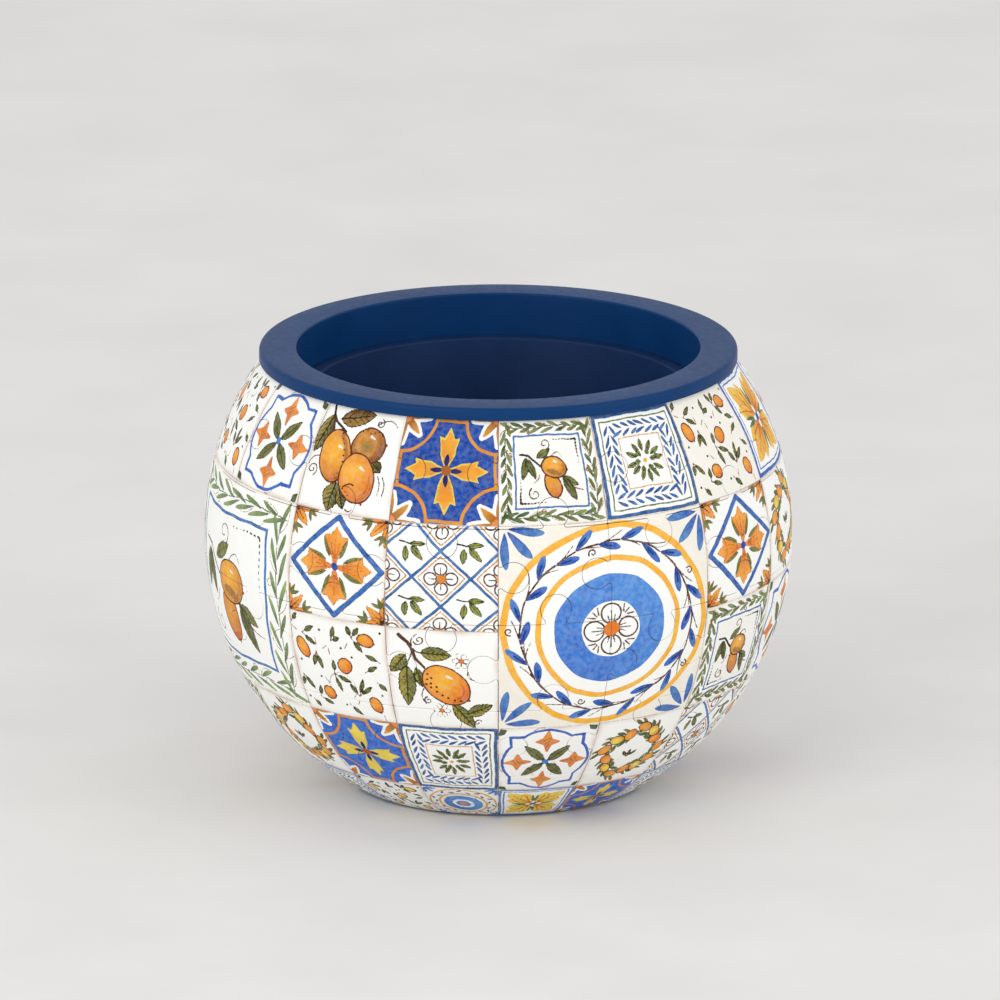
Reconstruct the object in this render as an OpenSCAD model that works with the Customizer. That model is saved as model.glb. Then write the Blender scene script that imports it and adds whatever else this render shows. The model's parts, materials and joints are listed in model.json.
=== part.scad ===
// Round flowerpot built as a curved jigsaw: five courses of sixteen printed pieces lock into a ball-shaped
// shell, which stands on a base plate, carries a blue rim ring, and holds an inner pot that lifts out.
// Origin: centre of the foot, on the surface that the pot stands on. +Z up, -Y to the front.

/* [Shell] */
// Outside diameter of the ball that the shell is part of
ball_d = 150; // [146:1:180]
// Thickness of the jigsaw pieces
wall = 2.4; // [2:0.1:2.6]
// Latitude of the shell's open top edge, in degrees
top_lat = 37.2; // [36.8:0.1:37.6]
// Latitude of the shell's foot edge, in degrees below the equator
foot_lat = 60.1; // [59:0.1:61]

/* [Jigsaw] */
// Width of the seam between two pieces
seam = 0.12; // [0.08:0.01:0.2]
// How far a knob reaches beyond its edge, at the equator
knob_reach = 7.8; // [7:0.1:8]
// Width of a knob's round head, at the equator
knob_w = 8; // [7:0.1:8.2]
// Width of a knob's neck, at the equator
neck_w = 5.4; // [4.6:0.1:5.6]

/* [Rim ring] */
// Height of the ring's outer edge
rim_h = 3.2; // [2.8:0.1:3.6]
// How far the ring's edge stands out beyond the shell's top edge
rim_overhang = 1.2; // [0.8:0.1:1.4]
// Radius of the ring's round mouth
mouth_r = 51.4; // [50:0.1:51.8]
// Radius on the ring's top outer edge
rim_round = 1.1; // [0.8:0.1:1.3]
// Thickness of the ring's hanging wall
skirt_t = 2; // [1.6:0.1:2.4]
// Depth of the hanging wall below the ring's top face
skirt_h = 14; // [12:0.5:16]

/* [Inner pot] */
// Thickness of the inner pot's wall
pot_t = 1.6; // [1.4:0.1:1.8]
// Radius of the inner pot's outside at its floor
pot_foot_r = 38; // [36:0.5:38]
// Height of the inner pot's floor above the base plate
pot_lift = 9; // [8:0.5:12]

/* [Base] */
// Thickness of the base plate inside its rim
plate_t = 1.2; // [1:0.1:1.6]
// Radius of each rubber foot
foot_r = 5; // [4:0.5:6]
// How far the rubber feet stand below the base plate
foot_proud = 0.4; // [0.3:0.1:0.8]

/* [Hidden] */
$fn = 96;
columns = 16;
step = 360 / columns;
single_courses = 3; // courses whose pieces each have a node of their own
ball_r = ball_d / 2;
top_z = ball_r * sin(top_lat);
foot_z = ball_r * sin(foot_lat);
centre_z = foot_z + foot_proud;
far = ball_r * 2;
// Latitudes of the seams between the courses, from the top one down
seams = [15.6, -3.3, -22.3, -41.3];
courses = len(seams) + 1;
edges = concat([top_lat], seams, [-foot_lat]);
half_seam = seam / 2;
seam_angle = half_seam / ball_r * 180 / PI;
edge_r = ball_r * cos(top_lat) + rim_overhang;
inside_r = ball_r - wall;
lip_t = 1.8;
lip_h = 3;
lip_gap = 0.4; // between a locating lip and the shell's inside
ledge_w = 2;
ledge_t = 1.6;
fit = 0.4; // clearance round the inner pot
flange_t = 1.6;
ledge_z = top_z + rim_h - skirt_h + ledge_t;
pot_floor_z = -foot_z + pot_lift;
pot_chamfer = 3;
feet = 4;
foot_ring_r = 27;
foot_seat = 0.3; // depth of the feet's sockets in the base plate

function two_digits(n) = str(n < 10 ? "0" : "", n);
function piece_name(course, column) = str("course", course, "_piece", two_digits(column));
function odd(n) = n % 2 == 1;
function ray(lat) = far * [cos(lat), sin(lat)];
function mid_lat(course) = (edges[course - 1] + edges[course]) / 2;

// Everything is modelled about the centre of the ball, which stands at centre_z.
module about_ball() {
    translate([0, 0, centre_z]) children();
}

module ball_shell() {
    difference() {
        sphere(r = ball_r);
        sphere(r = inside_r);
    }
}

// Outline of a course in the half-plane of radius and height. Seams and the foot edge are cut square to the
// shell, and the shell's top edge is level.
function course_outline(course) =
    let (below = ray(edges[course] + (course == courses ? 0 : seam_angle)))
    course == 1 ? [[0, 0], below, [far, top_z], [0, top_z]]
    : [[0, 0], below, ray(edges[course - 1] - seam_angle)];

// The plain block of one piece, centred on longitude 0.
module piece_block(course) {
    turn = step / 2 - seam_angle / cos(mid_lat(course));
    rotate([0, 0, -turn]) rotate_extrude(angle = 2 * turn) polygon(course_outline(course));
}

// A knob that points along heading, with 0 east and 90 north, and has its root at the given place.
// grow is added all round: negative for the knob itself, positive for its socket.
module knob(lat, lon, heading, size, grow) {
    head_r = knob_w / 2 * size + grow;
    head_at = (knob_reach - knob_w / 2) * size;
    neck = neck_w * size + 2 * grow;
    root = 1;
    depth = wall + 4;
    rotate([0, 0, lon]) rotate([0, -lat, 0]) translate([inside_r - 2, 0, 0]) rotate([heading, 0, 0]) {
        translate([0, head_at, 0]) rotate([0, 90, 0]) cylinder(r = head_r, h = depth, $fn = 48);
        translate([0, -root, -neck / 2]) cube([depth, head_at + root, neck]);
    }
}

// Knobs get smaller where the course is shorter.
function knob_size(lat) = min(1, 0.1 + cos(lat));

// Side knobs stick out of every second piece, and the next course starts the other way about.
function sides_out(course, column) = odd(course + column - 1);
// A knob on a level seam points up in one column and down in the next.
function points_up(column) = odd(column);

module side_knobs(course, out) {
    lat = mid_lat(course);
    grow = out ? -half_seam : half_seam;
    for (side = [0, 180])
        knob(lat, (side == 0 ? 1 : -1) * step / 2, out ? side : side + 180, knob_size(lat), grow);
}

module level_knob(lat, up, own) {
    knob(lat, 0, up ? 90 : -90, knob_size(lat), own ? -half_seam : half_seam);
}

// One piece of a course. Column 1 lies just east of the front.
module jigsaw_piece(course, column) {
    out = sides_out(course, column);
    up = points_up(column);
    above = edges[course - 1];
    below = edges[course];
    has_above = course > 1;
    has_below = course < courses;
    rotate([0, 0, -90 + step * (column - 0.5)]) intersection() {
        ball_shell();
        difference() {
            union() {
                piece_block(course);
                if (out) side_knobs(course, true);
                if (has_above && up) level_knob(above, true, true);
                if (has_below && !up) level_knob(below, false, true);
            }
            if (!out) side_knobs(course, false);
            if (has_above && !up) level_knob(above, false, false);
            if (has_below && up) level_knob(below, true, false);
        }
    }
}

// Each piece takes the main colour of the tile that is printed on it.
tile_colours = ["ivory", "royalblue", "goldenrod", "honeydew", "lightsteelblue"];
module coloured_piece(course, column) {
    color(tile_colours[(2 * column + 3 * course) % len(tile_colours)])
        about_ball() jigsaw_piece(course, column);
}

module course_pieces(course) {
    for (column = [1:columns]) coloured_piece(course, column);
}

// Flat blue ring with a hanging wall, a ledge for the inner pot, and a lip that centres it on the shell.
module rim_ring() {
    lip_r = sqrt(inside_r * inside_r - top_z * top_z) - lip_gap;
    color("#1d4480") about_ball() rotate_extrude() translate([0, top_z]) {
        translate([mouth_r, 0]) square([edge_r - rim_round - mouth_r, rim_h]);
        translate([mouth_r, 0]) square([edge_r - mouth_r, rim_h - rim_round]);
        translate([edge_r - rim_round, rim_h - rim_round]) circle(r = rim_round, $fn = 32);
        translate([mouth_r, rim_h - skirt_h]) square([skirt_t, skirt_h]);
        translate([mouth_r - ledge_w, rim_h - skirt_h]) square([ledge_w + skirt_t, ledge_t]);
        translate([lip_r - lip_t, -lip_h]) square([lip_t, lip_h + 1]);
    }
}

// Tapered waterproof pot whose flange hangs on the ring's ledge.
module inner_pot() {
    flange_r = mouth_r - fit;
    neck_r = mouth_r - ledge_w - fit;
    top = ledge_z + flange_t;
    slope = (neck_r - pot_foot_r) / (ledge_z - pot_floor_z);
    inner_foot_r = pot_foot_r - pot_t + pot_chamfer * slope;
    color("#17365f") about_ball() rotate_extrude() polygon([
        [0, pot_floor_z], [pot_foot_r - pot_chamfer, pot_floor_z], [pot_foot_r, pot_floor_z + pot_chamfer],
        [neck_r, ledge_z], [flange_r, ledge_z], [flange_r, top],
        [neck_r - pot_t, top], [inner_foot_r, pot_floor_z + pot_chamfer + pot_t],
        [inner_foot_r - pot_chamfer, pot_floor_z + pot_t], [0, pot_floor_z + pot_t]]);
}

// Where the rubber feet stand, on a circle under the base plate.
module at_feet() {
    for (i = [0:feet - 1]) rotate([0, 0, (i + 0.5) * 360 / feet]) translate([foot_ring_r, 0, 0]) children();
}

// Round plate that closes the foot. Its bevelled rim carries the lowest course, and a lip centres that course.
module base_plate() {
    bevel = foot_lat + 2 * seam_angle;
    rim_z = -inside_r * sin(foot_lat);
    floor_z = plate_t - foot_z;
    lip_r = sqrt(inside_r * inside_r - rim_z * rim_z) - lip_gap;
    lip_z = rim_z + lip_h;
    color("#1d4480") difference() {
        about_ball() rotate_extrude() polygon([
            [0, -foot_z], [foot_z / tan(bevel), -foot_z], [-rim_z / tan(bevel), rim_z], [lip_r, rim_z],
            [lip_r, lip_z], [lip_r - lip_t, lip_z], [lip_r - lip_t, floor_z], [0, floor_z]]);
        at_feet() cylinder(r = foot_r, h = foot_proud + foot_seat);
    }
}

module rubber_feet() {
    color("#2b2b2d") at_feet() cylinder(r = foot_r, h = foot_proud + foot_seat);
}

for (course = [1:single_courses]) for (column = [1:columns])
    coloured_piece(course, column);
course_pieces(4);  // course4_pieces
course_pieces(5);  // course5_pieces
rim_ring();
inner_pot();
base_plate();
rubber_feet();
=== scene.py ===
"""A round flowerpot built as a curved jigsaw and printed with hand-painted tiles, made around its CAD frame.

Lengths are in millimetres until a mesh is made. A tile's painting is drawn in tile units: u runs from -1 at
the tile's left edge to 1 at its right edge, and v from -1 at its bottom edge to 1 at its top edge.
"""

import json
import math
from collections import namedtuple
from functools import partialmethod

import bpy
import numpy as np
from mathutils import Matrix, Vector
from mathutils.geometry import delaunay_2d_cdt

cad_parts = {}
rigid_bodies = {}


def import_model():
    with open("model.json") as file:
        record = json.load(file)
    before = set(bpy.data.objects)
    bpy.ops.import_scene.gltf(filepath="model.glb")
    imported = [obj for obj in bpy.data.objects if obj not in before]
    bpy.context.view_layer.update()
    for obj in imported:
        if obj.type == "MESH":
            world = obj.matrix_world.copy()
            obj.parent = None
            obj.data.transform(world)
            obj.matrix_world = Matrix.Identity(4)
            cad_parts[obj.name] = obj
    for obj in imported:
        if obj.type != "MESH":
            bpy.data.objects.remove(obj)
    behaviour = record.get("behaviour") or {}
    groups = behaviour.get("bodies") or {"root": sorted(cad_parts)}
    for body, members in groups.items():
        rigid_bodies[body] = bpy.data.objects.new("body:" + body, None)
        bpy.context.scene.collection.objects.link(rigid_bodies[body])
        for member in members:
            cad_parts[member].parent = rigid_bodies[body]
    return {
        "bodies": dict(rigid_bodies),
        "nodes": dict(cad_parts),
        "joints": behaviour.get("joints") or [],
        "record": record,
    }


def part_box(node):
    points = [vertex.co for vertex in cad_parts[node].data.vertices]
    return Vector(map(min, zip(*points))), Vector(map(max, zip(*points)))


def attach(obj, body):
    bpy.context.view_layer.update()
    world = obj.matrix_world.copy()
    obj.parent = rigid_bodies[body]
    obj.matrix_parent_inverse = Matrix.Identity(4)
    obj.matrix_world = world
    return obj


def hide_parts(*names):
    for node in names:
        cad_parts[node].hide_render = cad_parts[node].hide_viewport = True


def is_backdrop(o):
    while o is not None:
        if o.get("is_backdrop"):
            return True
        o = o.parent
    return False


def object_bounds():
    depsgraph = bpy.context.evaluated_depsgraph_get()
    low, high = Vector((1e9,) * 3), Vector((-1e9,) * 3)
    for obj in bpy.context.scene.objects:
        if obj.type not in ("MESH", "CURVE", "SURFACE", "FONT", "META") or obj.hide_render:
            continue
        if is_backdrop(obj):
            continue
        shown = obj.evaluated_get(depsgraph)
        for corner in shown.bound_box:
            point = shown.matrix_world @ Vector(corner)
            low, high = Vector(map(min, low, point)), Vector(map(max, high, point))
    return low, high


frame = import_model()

MM = 0.001
CAD_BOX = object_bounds()

# The ball and its jigsaw, as the CAD part cuts them.
COLUMNS = 16
STEP = math.tau / COLUMNS
SINGLE_COURSES = 3
EDGES = [math.radians(lat) for lat in (37.2, 15.6, -3.3, -22.3, -41.3, -60.1)]
COURSES = len(EDGES) - 1
BALL_R = (CAD_BOX[1].x - CAD_BOX[0].x) / 2 / MM
WALL = 2.4
FOOT_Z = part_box("course5_pieces")[0].z / MM
CENTRE_Z = FOOT_Z - BALL_R * math.sin(EDGES[-1])
HALF_SEAM = 0.06
KNOB_REACH = 7.8
KNOB_W = 8.0
NECK_W = 5.4

# How finely a piece is meshed.
GRID = 0.32
BACK_GRID = 3.0
CORNER_R = 0.45
CLEAR_OF_EDGE = 0.55  # how near grid points come to the outline, in grid spacings
SHARP = math.radians(40)  # edges that turn more than this are shaded as sharp
# The edge of a piece's printed face, as (distance in from the seam line, depth below the ball's surface).
EDGE_ROUND = [(HALF_SEAM, WALL), (HALF_SEAM, 0.2), (0.085, 0.09), (0.14, 0.025), (0.22, 0.0)]

# Latitudes of the printed tiles' edges. The tiles' columns are the jigsaw's.
TILE_EDGES = [math.radians(lat) for lat in (37.2, 16.2, -4.65, -26.6, -46.3, -60.1)]

HALO = 0.6  # how far round a shape its distance is known
LAYERS = ("wash", "fill", "ink")


def rgb(red, green, blue):
    """A screen colour, from 0 to 255, as linear light."""
    s = np.array([red, green, blue]) / 255
    return np.where(s <= 0.04045, s / 12.92, ((s + 0.055) / 1.055) ** 2.4)


WHITE = rgb(252, 252, 249)
CREAM = rgb(246, 241, 230)
COBALT = rgb(10, 74, 168)
BLUE = rgb(46, 106, 196)
SKY = rgb(88, 150, 216)
STEEL = rgb(48, 104, 164)
NAVY = rgb(20, 32, 104)
OCHRE = rgb(216, 150, 48)
AMBER = rgb(244, 170, 50)
YELLOW = rgb(250, 206, 62)
LEMON = rgb(248, 222, 88)
ORANGE = rgb(230, 122, 28)
PEACH = rgb(232, 138, 66)
RUST = rgb(170, 96, 28)
OLIVE = rgb(128, 130, 50)
LEAF = rgb(94, 124, 58)
PALE_LEAF = rgb(146, 172, 108)
DEEP = rgb(46, 54, 22)
BROWN = rgb(82, 42, 26)
DARK = rgb(34, 24, 20)
ROSE = rgb(158, 100, 84)
GROUT = rgb(196, 182, 174)
SOIL = rgb(226, 212, 200)
GROUT_WIDTH = 0.24
SOIL_WIDTH = 1.8  # how far the soiling reaches in from a tile's edge

# ---------------------------------------------------------------- shapes, as signed distances in tile units

Shape = namedtuple("Shape", "middle reach distance")


def disc(x, y, r):
    return Shape((x, y), r, lambda p: np.hypot(p[:, 0] - x, p[:, 1] - y) - r)


def oval(x, y, a, b, tilt=0):
    """An ellipse with half-lengths a along its tilt, in degrees, and b across it."""
    turn = math.radians(tilt)
    along = np.array([math.cos(turn), math.sin(turn)])
    across = np.array([-along[1], along[0]])

    def distance(p):
        off = p - (x, y)
        s, t = off @ along, off @ across
        near = np.hypot(s / a, t / b)
        steep = np.maximum(np.hypot(s / a**2, t / b**2), 1e-6)
        return near * (near - 1) / steep

    return Shape((x, y), max(a, b), distance)


def edge_of(shape, width):
    """A line of that width along a shape's edge."""
    return Shape(shape.middle, shape.reach + width, lambda p: np.abs(shape.distance(p)) - width / 2)


def grown(shape, by):
    """A shape that is larger by that much all round, or smaller where it's negative."""
    return Shape(shape.middle, shape.reach + max(by, 0), lambda p: shape.distance(p) - by)


def bow(x, y, r, start, end, width):
    """An arc with round ends, from one angle to a larger one, in degrees."""
    middle = math.radians((start + end) / 2)
    half = math.radians((end - start) / 2)

    def distance(p):
        off = p - (x, y)
        angle = np.arctan2(off[:, 1], off[:, 0]) - middle
        angle = np.clip((angle + math.pi) % math.tau - math.pi, -half, half) + middle
        return np.hypot(off[:, 0] - r * np.cos(angle), off[:, 1] - r * np.sin(angle)) - width / 2

    return Shape((x, y), r + width, distance)


def square_line(half, width):
    """The outline of a square about the tile's middle."""
    return Shape((0, 0), 1.5, lambda p: np.abs(np.abs(p).max(axis=1) - half) - width / 2)


def from_segment(p, a, b):
    """How far points are from the line between two places, and how far along it they come nearest."""
    way = b - a
    s = np.clip((p - a) @ way / max(way @ way, 1e-9), 0, 1)
    off = p - a - s[:, None] * way
    return np.hypot(off[:, 0], off[:, 1]), s


def stroke(points, width, end_width=None):
    """A line through points, with round ends, that changes width evenly along its way."""
    ends = np.array(points, float)
    end_width = width if end_width is None else end_width
    middle = (ends.min(axis=0) + ends.max(axis=0)) / 2
    last = len(ends) - 1

    def distance(p):
        best = np.full(len(p), np.inf)
        for i, (a, b) in enumerate(zip(ends[:-1], ends[1:])):
            away, s = from_segment(p, a, b)
            wide = width + (end_width - width) * (i + s) / last
            best = np.minimum(best, away - wide / 2)
        return best

    return Shape(tuple(middle), float(np.abs(ends - middle).max() + width), distance)


def leaf_form(x0, y0, x1, y1, width, belly=0.45, point=0.8, teeth=0):
    """A leaf from one end to the other, widest at belly of its length. A lower point makes rounder ends."""
    start = np.array([x0, y0], float)
    way = np.array([x1, y1], float) - start
    length = float(np.hypot(*way))
    along = way / length
    across = np.array([-along[1], along[0]])
    power = math.log(0.5) / math.log(belly)

    def distance(p):
        s = (p - start) @ along
        t = np.clip(s / length, 0, 1)
        half = width / 2 * np.sin(math.pi * t**power) ** point
        if teeth:
            half = half * (0.94 + 0.12 * (t * teeth % 1))
        return np.hypot(s - t * length, (p - start) @ across) - half

    return Shape(tuple(start + way / 2), length / 2 + width, distance)


def polygon(corners):
    """A shape with straight sides."""
    ends = np.array(corners, float)
    middle = (ends.min(axis=0) + ends.max(axis=0)) / 2

    def distance(p):
        best = np.full(len(p), np.inf)
        inside = np.zeros(len(p), bool)
        for a, b in zip(ends, np.roll(ends, -1, axis=0)):
            way, off = b - a, p - a
            turn = way[0] * off[:, 1] - way[1] * off[:, 0]
            rises = (a[1] <= p[:, 1]) & (b[1] > p[:, 1]) & (turn > 0)
            falls = (b[1] <= p[:, 1]) & (a[1] > p[:, 1]) & (turn < 0)
            inside ^= rises | falls
            best = np.minimum(best, from_segment(p, a, b)[0])
        return np.where(inside, -best, best)

    return Shape(tuple(middle), float(np.abs(ends - middle).max()), distance)


def tulip_form(side, tip):
    """A petal with straight sides that points along u, from one side's corners and where its tip lies."""
    return polygon([*side, (tip, 0), *((u, -v) for u, v in reversed(side))])


def curve(start, pull, end, count=7):
    """Points along a curve from start to end that leans towards pull."""
    s = np.linspace(0, 1, count)[:, None]
    return (1 - s) ** 2 * np.array(start) + 2 * s * (1 - s) * np.array(pull) + s**2 * np.array(end)


def spiral(x, y, r, start, turns):
    """Points that wind inwards about a place, from an angle in degrees. Negative turns wind clockwise."""
    s = np.linspace(0, 1, 14)
    angle = math.radians(start) + math.tau * turns * s
    reach = r * (1 - 0.8 * s)
    return np.stack([x + reach * np.cos(angle), y + reach * np.sin(angle)], axis=1)


def fade(start, end, first, second):
    """A colour that changes from the first to the second along the way from start to end."""
    start, axis = np.array(start, float), np.array(end, float) - np.array(start, float)

    def colour(p):
        s = np.clip((p - start) @ axis / (axis @ axis), 0, 1)[:, None]
        return first + (second - first) * s * s * (3 - 2 * s)

    return colour


def glow(x, y, r, light, dark):
    """A colour that is light at a place and dark from r away."""

    def colour(p):
        s = np.clip(np.hypot(p[:, 0] - x, p[:, 1] - y) / r, 0, 1)[:, None]
        return light + (dark - light) * s * s * (3 - 2 * s)

    return colour


# ---------------------------------------------------------------- brushwork on one tile


class Tile:
    """The points of the pieces that lie on one printed tile, with what is painted there."""

    def __init__(self, at, scale, random=None, paint=None):
        self.at = at
        self.scale = scale
        self.random = random
        self.paint = paint or {layer: (np.zeros((len(at), 3)), np.full(len(at), HALO)) for layer in LAYERS}

    def pen(self, width):
        """A width in millimetres, in tile units."""
        return width / self.scale

    def turned(self, degrees):
        """The same tile with its drawing axes turned."""
        turn = math.radians(degrees)
        u = self.at[:, 0] * math.cos(turn) + self.at[:, 1] * math.sin(turn)
        v = self.at[:, 1] * math.cos(turn) - self.at[:, 0] * math.sin(turn)
        return Tile(np.stack([u, v], axis=1), self.scale, self.random, self.paint)

    def around(self, count=4, start=0):
        """The tile turned in equal steps, once round."""
        return [self.turned(360 * i / count + start) for i in range(count)]

    def near(self, shape):
        """The points near a shape, and their signed distances to it in millimetres."""
        off = np.abs(self.at - shape.middle).max(axis=1)
        members = np.flatnonzero(off < shape.reach + HALO / self.scale)
        return members, shape.distance(self.at[members]) * self.scale

    def draw(self, layer, colour, shape):
        """Paints a shape over what the layer holds."""
        members, distance = self.near(shape)
        colours, edges = self.paint[layer]
        on_top = (distance < edges[members]) | (distance < 0)
        lit = members[on_top]
        colours[lit] = colour(self.at[lit]) if callable(colour) else colour
        edges[members] = np.minimum(edges[members], distance)

    wash = partialmethod(draw, "wash")
    fill = partialmethod(draw, "fill")
    ink = partialmethod(draw, "ink")

    def clear(self, layer, shape):
        """Takes a shape out of a layer."""
        members, distance = self.near(shape)
        edges = self.paint[layer][1]
        edges[members] = np.maximum(edges[members], -distance)

    def cover(self, colour):
        """Paints the whole tile's wash."""
        colours, edges = self.paint["wash"]
        colours[:] = colour(self.at) if callable(colour) else colour
        edges[:] = -HALO

    def outlined(self, shape, colour, line, width):
        """A shape with its edge drawn in a line that wide in millimetres."""
        self.fill(colour, shape)
        self.ink(line, edge_of(shape, self.pen(width)))

    def line(self, points, width=0.36, end=None, colour=BROWN):
        """An ink line whose widths are in millimetres."""
        end = width if end is None else end
        self.ink(colour, stroke(points, self.pen(width), self.pen(end)))

    def wisp(self, start, pull, end, colour=BROWN, width=0.36):
        """A thin curved stroke that tapers."""
        self.line(curve(start, pull, end), width, width * 0.7, colour)

    def curl(self, x, y, r, start, turns, width=0.36, colour=BROWN):
        self.line(spiral(x, y, r, start, turns), width, width * 0.8, colour)

    def dots(self, places, r=0.22, colour=DARK):
        for x, y in places:
            self.ink(colour, disc(x, y, self.pen(r)))

    def leaf(self, x0, y0, x1, y1, width, colour=OLIVE, vein=0.0, outline=0.0):
        """A leaf that is darker at its stalk end, with a vein and an outline where they have a width."""
        form = leaf_form(x0, y0, x1, y1, width)
        self.fill(fade((x0, y0), (x1, y1), DEEP * 0.3 + colour * 0.7, colour), form)
        self.clear("ink", form)
        if outline:
            self.ink(DEEP, edge_of(form, self.pen(outline)))
        if vein:
            tip = (x0 + (x1 - x0) * 0.85, y0 + (y1 - y0) * 0.85)
            self.line([(x0, y0), tip], vein, vein * 0.7, DEEP)

    def dab(self, x0, y0, x1, y1, width, colour, dark, heart=0.0):
        """One loaded brush stroke: thin and dark where it starts, broad and round where it ends."""
        form = leaf_form(x0, y0, x1, y1, width, 0.6, 0.55)
        self.fill(fade((x0, y0), (x1, y1), dark, colour), form)
        self.clear("ink", form)
        if heart:
            ends = [(x0 + (x1 - x0) * s, y0 + (y1 - y0) * s) for s in (0.25, 0.62)]
            self.line(ends, heart, heart * 1.4, dark * 0.7)

    def sprig(self, x, y, tips, width=0.085):
        """Leaves from one place to each tip, round a short stalk."""
        for u, v in tips:
            foot = (x + (u - x) * 0.22, y + (v - y) * 0.22)
            self.leaf(*foot, u, v, width, OLIVE, 0.26, 0.28)
            self.line([(x, y), foot], 0.34, 0.3, ROSE * 0.7)

    def veined_leaf(self, x0, y0, x1, y1, width, colour=OLIVE, dark=DEEP):
        """A large toothed leaf with side veins and a lighter half."""
        form = leaf_form(x0, y0, x1, y1, width, teeth=8)
        start, way = np.array([x0, y0]), np.array([x1 - x0, y1 - y0])
        across = np.array([-way[1], way[0]]) / np.hypot(*way)
        pale = colour + (YELLOW - colour) * 0.25
        middle, half = start + way / 2, across * width / 2
        lit = fade(middle - half, middle + half, pale, colour * 0.7)
        self.clear("ink", form)
        self.outlined(form, lit, dark, 0.34)
        self.line([start, start + way * 0.5, start + way * 0.92], 0.42, 0.3, dark)
        for s in (0.2, 0.36, 0.52, 0.68):
            foot = start + way * s
            for side in (-1, 1):
                tip = foot + way * 0.15 + across * side * width * 0.32
                self.line([foot, tip], 0.3, 0.24, dark * 0.7 + colour * 0.2)

    def fruit(self, x, y, a, b, tilt=0, light=YELLOW, dark=ORANGE, nub=1, outline=0.4, shine=True):
        """A citrus fruit with half-length a along its tilt, and a nub at that end, or at the other for -1."""
        body = oval(x, y, a, b, tilt)
        turn = math.radians(tilt)
        along = np.array([math.cos(turn), math.sin(turn)])
        across = np.array([-along[1], along[0]])
        middle = np.array([x, y])
        self.clear("ink", body)
        if nub:
            foot = middle + along * nub * a * 0.9
            tip = foot + along * nub * a * 0.18
            self.fill(dark, stroke([foot, tip], b * 0.34, b * 0.12))
            self.line([tip, tip], 0.5)
            self.clear("ink", body)
        lit = glow(x - b * 0.2, y + b * 0.3, max(a, b) * 1.4, light, dark)
        self.outlined(body, lit, BROWN, outline)
        if not shine:
            return
        for inner, start in ((0.88, -80), (0.74, -60)):  # strokes of shade inside the lower edge
            angle = np.radians(np.linspace(start, start + 75, 7) - tilt)
            rim = [middle + inner * (a * math.cos(k) * along + b * math.sin(k) * across) for k in angle]
            self.fill(dark * 0.75, stroke(rim, self.pen(0.5), self.pen(0.3)))
        spot = middle + (b * 0.08, b * 0.54)
        self.line([spot, spot + (b * 0.26, -b * 0.12)], 0.7, 0.4, WHITE * 0.8 + light * 0.2)

    def flower(self, x, y, r, petals=4, heart=ORANGE, outline=0.4, strokes=1):
        """An outlined flower: round white petals about an orange heart, with strokes from it."""
        for i in range(petals):
            angle = math.tau * i / petals
            side, up = math.cos(angle), math.sin(angle)
            middle = (x + r * 0.62 * side, y + r * 0.62 * up)
            petal = oval(*middle, r * 0.37, r * 1.5 / petals, math.degrees(angle))
            self.clear("ink", grown(petal, -self.pen(outline) / 2))
            self.outlined(petal, WHITE, BROWN, outline)
        for i in range(petals):
            for k in range(strokes):
                angle = math.tau * i / petals + 0.26 * (k - (strokes - 1) / 2)
                end = r * (0.72 - 0.16 * abs(k - (strokes - 1) / 2))
                self.line([(x, y), (x + end * math.cos(angle), y + end * math.sin(angle))], 0.4, 0.28, DARK)
        self.ink(heart, disc(x, y, r * 0.28))


# ---------------------------------------------------------------- the tiles' motifs


def cross(t, petal=AMBER, ground=COBALT):
    """Four tulip petals in an ochre band, on cobalt."""
    band, band_width = OCHRE * 0.5 + AMBER * 0.5, 0.062
    t.cover(ground)
    for q in t.around():
        q.fill(band, bow(1, 1, 0.68, 180, 270, band_width))
        q.fill(band, stroke([(0.95, -0.32), (0.95, 0.32)], band_width))
        tulip = tulip_form([(0.08, 0.05), (0.3, 0.15), (0.48, 0.175), (0.64, 0.21), (0.6, 0.11)], 0.84)
        q.fill(LEMON * 0.9, tulip)
        q.fill(fade((0.1, 0), (0.7, 0), petal * 0.85, petal), grown(tulip, -0.03))
        q.ink(NAVY, leaf_form(0.06, 0, 0.32, 0, 0.1))
        for tip, width in (((0.66, 0.66), 0.15), ((0.99, 0.48), 0.1), ((0.48, 0.99), 0.1)):
            form = leaf_form(1.02, 1.02, *tip, width)
            q.fill(WHITE, grown(form, 0.065))
            q.ink(fade((1, 1), tip, RUST * 0.8, OCHRE), form)
        q.ink(PEACH, disc(1, 1, 0.12))
    t.ink(RUST, disc(0, 0, 0.095))


def yellow_cross(t):
    cross(t, LEMON, BLUE * 1.12)


GREENS = (LEAF * 0.8, OLIVE, OLIVE * 0.6 + PALE_LEAF * 0.5, LEAF * 0.4 + OLIVE * 0.7)


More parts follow.
